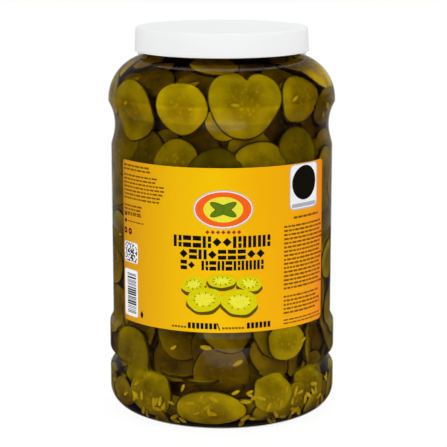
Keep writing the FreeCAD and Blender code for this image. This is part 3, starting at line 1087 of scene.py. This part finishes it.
    @staticmethod
    def turned(chip: Chip, points: np.ndarray) -> np.ndarray:
        """Spin, stretch, lean and tip a slice, and set it at its depth."""
        s, c = math.sin(math.radians(chip.spin)), math.cos(math.radians(chip.spin))
        spun = points @ np.array([[c, s, 0], [-s, c, 0], [0, 0, 1]])
        spun[:, 1] *= chip.stretch
        s, c = math.sin(math.radians(chip.lean)), math.cos(math.radians(chip.lean))
        leant = spun @ np.array([[c, 0, s], [0, 1, 0], [-s, 0, c]])
        s, c = math.sin(math.radians(chip.tip)), math.cos(math.radians(chip.tip))
        tipped = leant @ np.array([[1, 0, 0], [0, c, s], [0, -s, c]])
        tipped[:, 2] += chip.depth - tipped[:, 2].min()
        return tipped

    def build(self, flesh: bpy.types.Material) -> bpy.types.Object:
        """Make all slices as one mesh with their chart and tone.

        Args:
            flesh: finish of the slices.

        Returns:
            The slices.
        """
        self.arrange()
        vertices, charts, tones, faces = [], [], [], []
        for number, chip in enumerate(self.chips):
            local, places = self.shape(chip, number)
            first = sum(len(v) for v in vertices)
            vertices.append(self.lining.lay(chip.angle, chip.run, local))
            charts.append(places)
            tones.append(np.full(len(local), chip.tone))
            faces += disc_faces(chip.around, len(self.RINGS), first, True)
        piece = make_object("pickle_slices", np.vstack(vertices), faces, [flesh])
        chart(piece, self.CHART, np.vstack(charts))
        tone_layer = piece.data.attributes.new(self.TONE, "FLOAT", "POINT")
        tone_layer.data.foreach_set("value", np.concatenate(tones).astype(np.float32))
        ride(piece)
        return piece


@dataclass
class Contents:
    """What fills the jar: brine, slices, loose seeds and a dark packed middle."""

    jar: Jar
    lining: Lining
    level: float = field(init=False)
    core_depth: float = 11.5
    core_foot: float = 5.0
    core_head: float = 234.0
    core_step: float = 3.0
    core_around: int = 96
    lump: float = 2.4
    seed_count: int = 200
    seed_size: tuple[float, float, float] = (6.6, 2.7, 1.2)
    settled_share: float = 0.8
    seed: int = 5

    def __post_init__(self) -> None:
        """Take the brine's level from the frame."""
        self.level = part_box("pickles_in_brine")[1].z / MM

    def brine(self, finish: AmberBrine) -> bpy.types.Object:
        """Brine out to the middle of the wall, so that no air gap shows."""
        jar = self.jar
        reach = jar.wall / 2
        body = inset(jar.outside(), reach)
        body = body[body[:, 1] < jar.neck_root - reach]
        bore = jar.neck_radius - jar.neck_wall + reach
        outline = np.vstack([body, [[bore, jar.neck_root]], [[bore, self.level]],
                             [[0, self.level]]])
        piece = lathe("brine", outline, jar.segments, [finish.build()])
        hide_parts("pickles_in_brine")
        ride(piece)
        return piece

    def middle(self, flesh: bpy.types.Material) -> bpy.types.Object:
        """Dark middle of the pack: slices pressed flat on each other, as one lumpy form."""
        rows = []
        around = self.core_around
        heights = np.arange(self.core_foot, self.core_head, self.core_step)
        for height in heights:
            run = self.lining.run_at(float(height))
            for j in range(around):
                angle = 360 * j / around
                lump = self.lump * math.sin(height / 6.1 + 5 * math.radians(angle)) \
                    * math.cos(height / 9.3 - 7 * math.radians(angle))
                near = min(1.0, 0.35 + height / 38)
                local = np.array([[0.0, 0.0, (self.core_depth + lump) * near]])
                rows.append(self.lining.lay(angle, run, local)[0])
        rows += [[0, 0, heights[0]], [0, 0, heights[-1]]]
        faces: list[tuple[int, ...]] = []
        count = len(heights)
        for j in range(around):
            i = (j + 1) % around
            for k in range(count - 1):
                low, high = k * around, (k + 1) * around
                faces.append((low + j, low + i, high + i, high + j))
            faces.append((count * around, i, j))
            head = (count - 1) * around
            faces.append((count * around + 1, head + j, head + i))
        piece = make_object("packed_middle", np.array(rows), faces, [flesh])
        ride(piece)
        return piece

    def seeds(self, coat: bpy.types.Material) -> bpy.types.Object:
        """Loose seeds: most settled round the foot, some caught against the wall."""
        draw = random.Random(self.seed)
        chosen = [(55, 34, 86), (62, 34, 80), (40, 23, 15), (38, 17, 20), (31, 17, 10),
                  (24, 16, 25), (14, 27, 70), (12, 21, 95), (-50, 16, 35), (-35, 17, 20),
                  (-30, 15, 5), (-20, 29, 15), (-10, 24, 40), (-4, 23, 120), (8, 47, 60)]
        places = list(chosen)
        while len(places) < self.seed_count:
            low = draw.random() < self.settled_share
            height = draw.triangular(4.6, 30, 5.5) if low else draw.uniform(30, 222)
            places.append((draw.uniform(-180, 180), height, draw.uniform(0, 180)))
        points, turns, sizes = [], [], []
        for angle, height, lean in places:
            run = self.lining.run_at(height)
            local = np.array([[0.0, 0.0, draw.uniform(-0.2, 0.6)]])
            points.append(self.lining.lay(angle, run, local)[0] * MM)
            turns.append([draw.uniform(-0.2, 0.2), math.radians(lean),
                          math.radians(angle)])
            grow = draw.uniform(0.75, 1.15)
            sizes.append([grow, 1.0, grow])
        piece = bake("pickle_seeds", np.array(points),
                     {"turn": np.array(turns), "grow": np.array(sizes)}, seed_tree(coat),
                     {name: size * MM for name, size
                      in zip(("Length", "Width", "Thickness"), self.seed_size)})
        ride(piece)
        return piece


@dataclass
class Lid:
    """White screw lid: a plain tapered skirt, a rounded edge and a shallow top."""

    foot: float = field(init=False)
    head: float = field(init=False)
    foot_radius: float = 57.9
    head_radius: float = 57.0
    edge_round: float = 1.2
    bore_foot: float = 56.3
    bore_head: float = 55.5
    segments: int = 192

    def __post_init__(self) -> None:
        """Take the lid's heights from the frame."""
        low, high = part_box("lid")
        self.foot, self.head = low.z / MM, high.z / MM

    def build(self, plastic: bpy.types.Material, seal: float) -> bpy.types.Object:
        """Turn the lid.

        Args:
            plastic: finish of the lid.
            seal: height of the rim that the lid seals on.

        Returns:
            The lid.
        """
        lip = 0.35
        corners = [
            Corner(0, seal),
            Corner(self.bore_head, seal, 0.6),
            Corner(self.bore_foot, self.foot, 0.25),
            Corner(self.foot_radius, self.foot, lip),
            Corner(self.foot_radius - 0.02, self.foot + 1.4, 0.4),
            Corner(self.foot_radius - 0.32, self.foot + 1.7, 0.4),
            Corner(self.head_radius, self.head, self.edge_round),
            Corner(0, self.head)]
        piece = lathe("screw_lid", spread(rounded(corners, 12.0), 7.0), self.segments,
                      [plastic])
        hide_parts("lid")
        ride(piece)
        return piece


# ---------------------------------------------------------------- the label


@dataclass
class Label:
    """Film glued round the front of the panel, with rounded corners."""

    CHART = "label_chart"

    jar: Jar
    left: float = -60.0
    right: float = 62.0
    bottom: float = 67.2
    top: float = 174.1
    corner: float = 3.0
    thickness: float = 0.12
    columns: int = 97
    rows: int = 30

    def face_radius(self) -> float:
        """Radius of the printed face."""
        return self.jar.panel_radius + self.thickness

    def levels(self) -> np.ndarray:
        """Heights of the film's rows, closer together round its corners."""
        curl = self.corner * (1 - np.cos(np.linspace(0, math.pi / 2, 6)))
        straight = np.linspace(self.bottom + self.corner, self.top - self.corner, self.rows)
        return np.concatenate([self.bottom + curl[:-1], straight, self.top - curl[-2::-1]])

    def trim(self, height: float) -> float:
        """Degrees that a rounded corner takes off each end of the row at a height."""
        edge = min(height - self.bottom, self.top - height)
        if edge >= self.corner:
            return 0.0
        side = self.corner - math.sqrt(self.corner ** 2 - (self.corner - edge) ** 2)
        return math.degrees(side / self.jar.panel_radius)

    def build(self, film: bpy.types.Material) -> bpy.types.Object:
        """Make the film as a thin curved sheet with a chart across it.

        Args:
            film: finish of the label.

        Returns:
            The label.
        """
        levels = self.levels()
        vertices, places = [], []
        for radius in (self.jar.panel_radius, self.face_radius()):
            for height in levels:
                trim = self.trim(float(height))
                for angle in np.linspace(self.left + trim, self.right - trim, self.columns):
                    vertices.append(around_axis(radius, math.radians(angle), height))
                    places.append(((angle - self.left) / (self.right - self.left),
                                   (height - self.bottom) / (self.top - self.bottom)))
        piece = make_object("label_film", np.array(vertices), self.faces(len(levels)), [film])
        chart(piece, self.CHART, np.array(places))
        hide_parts("label")
        ride(piece)
        return piece

    def faces(self, rows: int) -> list[tuple[int, ...]]:
        """Faces of the sheet: both sides and its four edges, all outward."""
        wide, skin = self.columns, self.columns * rows
        faces: list[tuple[int, ...]] = []
        for k in range(rows - 1):
            for i in range(wide - 1):
                a, b = k * wide + i, (k + 1) * wide + i
                faces.append((a, b, b + 1, a + 1))
                faces.append((skin + a, skin + a + 1, skin + b + 1, skin + b))
        top = (rows - 1) * wide
        for i in range(wide - 1):
            faces.append((i, i + 1, skin + i + 1, skin + i))
            faces.append((top + i, skin + top + i, skin + top + i + 1, top + i + 1))
        for k in range(rows - 1):
            a, b = k * wide, (k + 1) * wide
            faces.append((a, skin + a, skin + b, b))
            a, b = a + wide - 1, b + wide - 1
            faces.append((a, b, skin + b, skin + a))
        return faces


@dataclass(frozen=True)
class Block:
    """Small printed block: its middle, size, lean and how many inks lie under it."""

    angle: float
    height: float
    wide: float
    high: float
    lean: float = 0.0
    layer: int = 2


@dataclass(frozen=True)
class Plate:
    """Printed patch of colour, round or nearly square by its power."""

    ink: Ink
    angle: float
    height: float
    half_wide: float
    half_high: float
    layer: int = 0
    power: float = 2.0
    turn: float = 0.0
    wave: float = 0.0


@dataclass
class LabelPrint:
    """Print on the label: plates and blocks of ink, laid out by angle and height."""

    label: Label
    relief: float = 0.015
    lift: float = 0.02
    around: int = 72
    ring_pitch: float = 1.7
    seed: int = 23
    blocks: dict[Ink, list[Block]] = field(default_factory=dict)
    plates: list[Plate] = field(default_factory=list)
    draw: random.Random = field(init=False)

    def __post_init__(self) -> None:
        """Start the layout's own chance from its seed."""
        self.draw = random.Random(self.seed)

    def per_degree(self) -> float:
        """Arc length of one degree on the printed face."""
        return math.radians(self.label.face_radius())

    def add(self, ink: Ink, *blocks: Block) -> None:
        """Add blocks of one ink."""
        self.blocks.setdefault(ink, []).extend(blocks)

    def heading(self, left: float, right: float, foot: float, high: float,
                words: Sequence[int]) -> None:
        """Row of bold motifs in the place of a heading: bars, pairs and stacked bars.

        Args:
            left: first degree of the row.
            right: last degree of the row.
            foot: height of the row's foot.
            high: height of the motifs.
            words: number of motifs in each group.
        """
        cells = sum(words) + 0.7 * (len(words) - 1)
        pitch = (right - left) / cells
        wide = 0.84 * pitch * self.per_degree()
        at = left
        for group in words:
            for _ in range(group):
                middle, kind = at + 0.4 * pitch, self.draw.randrange(4)
                across = 0.31 * wide / self.per_degree()
                if kind == 0:
                    self.add(Ink.TITLE,
                             Block(middle, foot + 0.8 * high, wide, 0.4 * high),
                             Block(middle, foot + 0.2 * high, wide, 0.4 * high))
                elif kind == 1:
                    self.add(Ink.TITLE,
                             Block(middle - across, foot + high / 2, 0.38 * wide, high),
                             Block(middle + across, foot + high / 2, 0.38 * wide, high))
                elif kind == 2:
                    self.add(Ink.TITLE,
                             Block(middle - across, foot + high / 2, 0.38 * wide, high),
                             Block(middle + across, foot + 0.76 * high, 0.38 * wide,
                                   0.48 * high),
                             Block(middle + across, foot + 0.2 * high, 0.38 * wide,
                                   0.4 * high))
                else:
                    self.add(Ink.TITLE,
                             Block(middle, foot + high / 2, 0.74 * wide, 0.74 * wide, 45.0))
                at += pitch
            at += 0.7 * pitch

    def lines(self, ink: Ink, left: float, right: float, top: float, pitch: float,
              count: int, high: float, ragged: float = 0.25) -> None:
        """Rows of small blocks in the place of fine print.

        Args:
            ink: ink of the rows.
            left: degree at which every row starts.
            right: degree at which the longest row ends.
            top: height of the first row's middle.
            pitch: distance between rows.
            count: number of rows.
            high: height of the blocks.
            ragged: largest share by which a row falls short.
        """
        for row in range(count):
            end = right - self.draw.uniform(0, ragged) * (right - left)
            at = left
            while at < end:
                wide = self.draw.uniform(1.4, 4.4)
                turn = wide / self.per_degree()
                self.add(ink, Block(at + turn / 2, top - row * pitch, wide, high))
                at += turn + 0.75 / self.per_degree()

    def emblem(self) -> None:
        """Oval medallion with two crossed gherkins, over a row of dark red lozenges."""
        angle, height = 0.8, 147.6
        for ink, wide, high, layer in ((Ink.LILAC, 19.2, 12.4, 0), (Ink.WHITE, 18.7, 11.9, 1),
                                       (Ink.ORANGE, 18.0, 11.2, 2), (Ink.PALE, 12.6, 8.2, 3)):
            self.plates.append(Plate(ink, angle, height, wide, high, layer))
        for turn in (28.0, -28.0):
            self.plates.append(Plate(Ink.RIND, angle, height, 9.4, 2.7, 4, turn=turn))
            self.plates.append(Plate(Ink.GREEN, angle, height, 8.9, 2.2, 5, turn=turn))
        for k in range(-3, 4):
            self.add(Ink.RED, Block(angle + 2.6 * k, 133.0, 1.9, 1.9, 45.0))

    def sliced_gherkins(self) -> None:
        """Picture of five round slices, each with a dark rim, pale middle and seeds."""
        group = ((-14.0, 98.6, 8.6, 5.2, 16.0), (13.8, 99.2, 8.8, 5.2, -12.0),
                 (0.0, 101.4, 9.6, 4.6, 0.0), (-8.6, 89.0, 11.8, 8.2, 10.0),
                 (8.8, 87.4, 12.2, 8.6, -8.0))
        for number, (angle, height, wide, high, turn) in enumerate(group):
            layer = 3 * number
            self.plates += [
                Plate(Ink.RIND, angle, height - 1.9, wide, high, layer, turn=turn, wave=0.05),
                Plate(Ink.FLESH, angle, height, wide - 0.3, high - 0.3, layer + 1, turn=turn,
                      wave=0.04),
                Plate(Ink.PALE, angle, height + 0.2, 0.55 * wide, 0.5 * high, layer + 2,
                      turn=turn, wave=0.12)]
            for k in range(10):
                spin = 2 * math.pi * (k + 0.3) / 10
                across = 0.56 * wide * math.cos(spin) / self.per_degree()
                rise = 0.54 * high * math.sin(spin)
                self.add(Ink.GREEN, Block(angle + across, height + rise, 1.5, 0.5,
                                          math.degrees(-spin), layer + 3))

    def left_edge(self) -> None:
        """Fine print, dots, a chequered patch and a barred patch at the left edge."""
        self.lines(Ink.SMALL, -58.6, -36.0, 171.0, 2.5, 2, 1.2, 0.4)
        self.lines(Ink.SMALL, -58.6, -29.5, 164.6, 2.5, 7, 1.1, 0.3)
        self.lines(Ink.SMALL, -58.6, -42.5, 144.6, 2.4, 3, 1.2, 0.2)
        for height in (138.6, 134.2):
            self.plates.append(Plate(Ink.TITLE, -57.4, height, 1.3, 1.3))
            self.lines(Ink.SMALL, -55.6, -43.5, height, 2.5, 1, 0.8, 0.1)
        for angle in (-57.6, -53.4):
            self.plates.append(Plate(Ink.TITLE, angle, 127.6, 1.9, 2.1))
            self.plates.append(Plate(Ink.ORANGE, angle, 127.6, 0.8, 0.9, 1))
        self.plates.append(Plate(Ink.WHITE, -53.0, 113.6, 7.5, 6.8, 0, 12.0))
        # The cells stop just short of each other, so that each stays a closed block.
        cell, side = 0.95, 0.97 * 0.95
        for row in range(13):
            for column in range(14):
                if self.draw.random() < 0.5:
                    angle = -53.0 + (column - 6.5) * cell / self.per_degree()
                    self.add(Ink.TITLE, Block(angle, 113.6 + (row - 6) * cell, side, side))
        self.plates.append(Plate(Ink.WHITE, -53.2, 86.4, 7.4, 15.7, 0, 16.0))
        at = 73.0
        while at < 99.5:
            bar = self.draw.choice((0.35, 0.5, 0.8, 1.1))
            self.add(Ink.TITLE, Block(-52.6, at + bar / 2, 9.6, bar))
            at += bar + self.draw.choice((0.4, 0.6, 0.9))
        self.plates.append(Plate(Ink.TITLE, -44.6, 73.6, 1.4, 2.6, 0, 1.2))

    def right_edge(self) -> None:
        """White plate with a plain black disc, over a column of fine print."""
        self.plates += [Plate(Ink.LILAC, 46.0, 158.8, 13.2, 14.8, 0, 10.0),
                        Plate(Ink.WHITE, 46.0, 159.0, 12.6, 14.2, 1, 10.0),
                        Plate(Ink.TITLE, 46.0, 161.2, 11.2, 11.2, 2),
                        Plate(Ink.GREY, 46.0, 146.8, 11.4, 1.3, 2, 8.0)]
        self.lines(Ink.SMALL, 38.5, 57.5, 139.2, 2.6, 1, 1.4, 0.1)
        self.lines(Ink.SMALL, 32.6, 60.2, 134.0, 2.7, 16, 1.25, 0.06)
        self.lines(Ink.SMALL, 32.6, 60.2, 88.0, 2.7, 5, 1.2, 0.3)
        self.lines(Ink.SMALL, 32.6, 60.2, 72.4, 2.2, 2, 0.9, 0.2)

    def weights(self) -> None:
        """Two bold groups of blocks, each after a small one, along the foot."""
        for left, right, bold in ((-25.6, -18.0, False), (-17.0, -4.0, True),
                                  (0.2, 11.4, False), (12.6, 25.4, True)):
            at = left
            while at < right:
                wide = 1.9 if bold else 1.5
                high = 3.9 if bold else 1.3
                self.add(Ink.TITLE if bold else Ink.SMALL,
                         Block(at + wide / 2 / self.per_degree(), 69.6 + high / 2, wide, high))
                at += (wide + (0.9 if bold else 0.6)) / self.per_degree()
        self.add(Ink.TITLE, Block(-1.6, 71.2, 0.7, 5.0, -20.0))

    def plate_mesh(self, plate: Plate, first: int) -> tuple[np.ndarray, list]:
        """Vertices and faces of a plate, wrapped round the jar.

        Args:
            plate: the plate.
            first: number of its first vertex.

        Returns:
            Rows of millimetres, and faces.
        """
        turns = np.linspace(0, 2 * math.pi, self.around, endpoint=False)
        square = (np.abs(np.cos(turns)) ** plate.power
                  + np.abs(np.sin(turns)) ** plate.power) ** (-1 / plate.power)
        square = square * (1 + plate.wave * (np.sin(7 * turns + plate.angle) * 0.5
                                             + np.sin(3 * turns + plate.height) * 0.5))
        tilt = math.radians(plate.turn)
        rings = max(3, math.ceil(max(plate.half_wide, plate.half_high) / self.ring_pitch))
        base = self.label.face_radius() + self.lift + plate.layer * self.relief
        vertices = []
        for radius in (base - 0.4 * self.relief, base + 0.4 * self.relief):
            for share in (k / rings for k in range(rings + 1)):
                wide = share * square * np.cos(turns) * plate.half_wide
                high = share * square * np.sin(turns) * plate.half_high
                across = wide * math.cos(tilt) - high * math.sin(tilt)
                rise = wide * math.sin(tilt) + high * math.cos(tilt)
                angle = math.radians(plate.angle) + across / self.label.face_radius()
                ring = around_axis(radius, angle, plate.height + rise)
                vertices.append(ring if share else ring[:1])
        faces = disc_faces(self.around, rings, first, False)
        return np.vstack(vertices), faces

    def build(self) -> None:
        """Lay the print out and make it: one piece of plates, and one of blocks for each ink."""
        self.emblem()
        self.heading(-24.2, 25.6, 122.8, 7.6, (10,))
        self.heading(-21.0, 22.4, 115.3, 6.4, (9,))
        self.heading(-20.6, 21.8, 108.2, 6.2, (2, 8))
        self.sliced_gherkins()
        self.weights()
        self.left_edge()
        self.right_edge()
        inks = list(dict.fromkeys(plate.ink for plate in self.plates))
        dressed = {ink: ink.build() for ink in Ink}
        vertices, faces, slots = [], [], []
        for plate in self.plates:
            first = sum(len(v) for v in vertices)
            rows, pattern = self.plate_mesh(plate, first)
            vertices.append(rows)
            faces += pattern
            slots += [inks.index(plate.ink)] * len(pattern)
        plates = make_object("label_print_plates", np.vstack(vertices), faces,
                             [dressed[ink] for ink in inks], smooth=False)
        plates.data.polygons.foreach_set("material_index", slots)
        ride(plates)
        radius = self.label.face_radius() + self.lift
        for ink, blocks in self.blocks.items():
            points = [[math.radians(b.angle) * radius * MM, -float(b.layer), b.height * MM]
                      for b in blocks]
            sizes = [[b.wide * MM, 0.8, b.high * MM] for b in blocks]
            leans = [[0.0, math.radians(b.lean), 0.0] for b in blocks]
            piece = bake(f"label_print_{ink.name.lower()}", np.array(points),
                         {"block": np.array(sizes), "lean": np.array(leans)},
                         print_tree(dressed[ink]),
                         {"Radius": radius * MM, "Relief": self.relief * MM})
            ride(piece)


# ---------------------------------------------------------------- the studio


@dataclass(frozen=True)
class Studio:
    """Product studio: camera, pale round floor, soft lamps and a surround white to the eye.

    To a reflection the surround is dim, and the floor too but for a bright pool before the
    jar. All lengths here are metres.
    """

    camera_place: tuple[float, float, float] = (0.00115, -1.089, 0.348)
    look_down: float = 11.65
    lens: float = 132.2
    aim_height: float = 0.12
    floor_radius: float = 0.62
    floor_rim: int = 96
    pool_place: tuple[float, float, float] = (0.02, -0.36, 0.0)
    pool_core: float = 0.128
    pool_edge: float = 0.156
    mirrored: float = 0.60
    mirrored_dim: float = 0.05
    bounce: float = 0.38
    seen_floor: float = 0.93
    shade_card: str = "5A5A5A"
    bounce_card: str = "F4F4F4"
    soft_sky: float = 0.48
    gloss_from: float = 0.45
    gloss_to: float = 0.95
    gloss_front: float = 0.004
    gloss_behind: float = 0.25
    lamps: tuple[tuple[tuple[float, float, float], float, float], ...] = (
        ((-0.95, -0.78, 0.62), 0.7, 5.3),
        ((1.00, -0.76, 0.60), 0.7, 5.5),
        ((0.0, 0.20, 1.15), 0.8, 4.1),
        ((0.30, 1.15, 0.60), 0.7, 4.5))

    def camera(self) -> None:
        """Camera a little above the shoulder, looking slightly down."""
        eye = bpy.data.cameras.new("camera")
        eye.lens = self.lens
        eye.sensor_width = 36.0
        eye.clip_start = 0.05
        stand = bpy.data.objects.new("camera", eye)
        stand.location = self.camera_place
        stand.rotation_euler = (math.radians(90 - self.look_down), 0.0, 0.0)
        bpy.context.scene.collection.objects.link(stand)
        bpy.context.scene.camera = stand

    def seen(self, tree: bpy.types.NodeTree) -> bpy.types.NodeSocket:
        """One where a ray comes from the eye, a gloss or through glass, else nought."""
        path = add_node(tree, "ShaderNodeLightPath")
        both = add_node(tree, "ShaderNodeMath", {"operation": "MAXIMUM"},
                        {0: path.outputs["Is Camera Ray"], 1: path.outputs["Is Glossy Ray"]})
        all_three = add_node(tree, "ShaderNodeMath", {"operation": "MAXIMUM"},
                             {0: both.outputs[0], 1: path.outputs["Is Transmission Ray"]})
        return all_three.outputs[0]

    def floor(self) -> None:
        """Round pale floor, near white to the eye, with a faint shadow on it."""
        material, tree = new_material("floor_pale_card")
        card = add_node(tree, "ShaderNodeBsdfDiffuse", inputs={"Color": srgb(self.bounce_card)})
        glow = add_node(tree, "ShaderNodeEmission",
                        inputs={"Color": WHITE, "Strength": self.bounce})
        plain = add_node(tree, "ShaderNodeAddShader",
                         inputs={0: card.outputs[0], 1: glow.outputs[0]})
        soft = add_node(tree, "ShaderNodeBsdfDiffuse", inputs={"Color": srgb(self.shade_card)})
        white = add_node(tree, "ShaderNodeEmission", inputs={"Color": WHITE,
                                                             "Strength": self.seen_floor})
        lit = add_node(tree, "ShaderNodeAddShader",
                       inputs={0: soft.outputs[0], 1: white.outputs[0]})
        place = add_node(tree, "ShaderNodeTexCoord")
        reach = add_node(tree, "ShaderNodeVectorMath", {"operation": "DISTANCE"},
                         {0: place.outputs["Object"], 1: self.pool_place})
        pool = add_node(tree, "ShaderNodeMapRange", {"interpolation_type": "SMOOTHSTEP"},
                        {"Value": reach.outputs["Value"], 1: self.pool_core,
                         2: self.pool_edge, 3: self.mirrored, 4: self.mirrored_dim})
        mirror = add_node(tree, "ShaderNodeEmission",
                          inputs={"Color": WHITE, "Strength": pool.outputs[0]})
        path = add_node(tree, "ShaderNodeLightPath")
        shown = add_node(tree, "ShaderNodeMixShader", inputs={
            0: path.outputs["Is Glossy Ray"], 1: lit.outputs[0], 2: mirror.outputs[0]})
        mix = add_node(tree, "ShaderNodeMixShader",
                       inputs={0: self.seen(tree), 1: plain.outputs[0], 2: shown.outputs[0]})
        output(tree, mix.outputs[0])
        turns = np.linspace(0, 2 * math.pi, self.floor_rim, endpoint=False)
        rim = np.stack([np.cos(turns), np.sin(turns), np.zeros(self.floor_rim)], axis=1)
        disc = make_object("floor", rim * self.floor_radius / MM,
                           [tuple(range(self.floor_rim))],
                           [material], smooth=False)

    def world(self) -> None:
        """White to the eye and through brine; to a gloss, dim in front and less so behind."""
        world = bpy.data.worlds.new("studio")
        world.use_nodes = True
        bpy.context.scene.world = world
        tree = world.node_tree
        tree.nodes.clear()
        path = add_node(tree, "ShaderNodeLightPath")
        way = add_node(tree, "ShaderNodeTexCoord")
        split = add_node(tree, "ShaderNodeSeparateXYZ", inputs={0: way.outputs["Generated"]})
        behind = add_node(tree, "ShaderNodeMapRange", {"interpolation_type": "SMOOTHSTEP"},
                          {"Value": split.outputs[1], 1: self.gloss_from, 2: self.gloss_to,
                           3: self.gloss_front, 4: self.gloss_behind})
        gloss = add_node(tree, "ShaderNodeBackground",
                         inputs={"Color": WHITE, "Strength": behind.outputs[0]})
        soft = add_node(tree, "ShaderNodeBackground",
                        inputs={"Color": WHITE, "Strength": self.soft_sky})
        white = add_node(tree, "ShaderNodeBackground",
                         inputs={"Color": WHITE, "Strength": 1.0})
        unseen = add_node(tree, "ShaderNodeMixShader", inputs={
            0: path.outputs["Is Glossy Ray"], 1: soft.outputs[0], 2: gloss.outputs[0]})
        direct = add_node(tree, "ShaderNodeMath", {"operation": "MAXIMUM"},
                          {0: path.outputs["Is Camera Ray"],
                           1: path.outputs["Is Transmission Ray"]})
        shown = add_node(tree, "ShaderNodeMixShader", inputs={
            0: direct.outputs[0], 1: unseen.outputs[0], 2: white.outputs[0]})
        add_node(tree, "ShaderNodeOutputWorld", inputs={"Surface": shown.outputs[0]})

    def light(self) -> None:
        """Large soft lamps, which light the jar but are not mirrored in it."""
        for number, (place, size, power) in enumerate(self.lamps):
            lamp = bpy.data.lights.new(f"softbox_{number}", "AREA")
            lamp.shape = "SQUARE"
            lamp.size = size
            lamp.energy = power
            stand = bpy.data.objects.new(f"softbox_{number}", lamp)
            stand.location = place
            stand.rotation_euler = self.aim(place)
            stand.visible_glossy = False
            bpy.context.scene.collection.objects.link(stand)

    def aim(self, place: Sequence[float]) -> tuple[float, float, float]:
        """Turn of a lamp at a place so that it faces the jar's middle."""
        x, y, z = -place[0], -place[1], self.aim_height - place[2]
        return (math.atan2(math.hypot(x, y), -z), 0.0, math.atan2(y, x) - math.pi / 2)

    def build(self) -> None:
        """Set the camera first, then the floor, the surround and the lamps."""
        self.camera()
        self.floor()
        self.world()
        self.light()
        bpy.context.scene.view_settings.view_transform = "Standard"


def main() -> None:
    """Build the studio and each piece of the jar in order."""
    logging.basicConfig(level=logging.INFO, format="%(name)s: %(message)s")
    Studio().build()
    jar = Jar()
    jar.build(BlownPet())
    lining = Lining(jar)
    contents = Contents(jar, lining)
    contents.brine(AmberBrine())
    contents.middle(PackedDepth().build())
    PickleSlices(lining).build(PickleFlesh().build())
    contents.seeds(SeedCoat().build())
    Lid().build(MouldedPolypropylene().build(), jar.rim)
    label = Label(jar)
    label.build(PrintedFilm().build())
    LabelPrint(label).build()


if __name__ == "__main__":
    main()
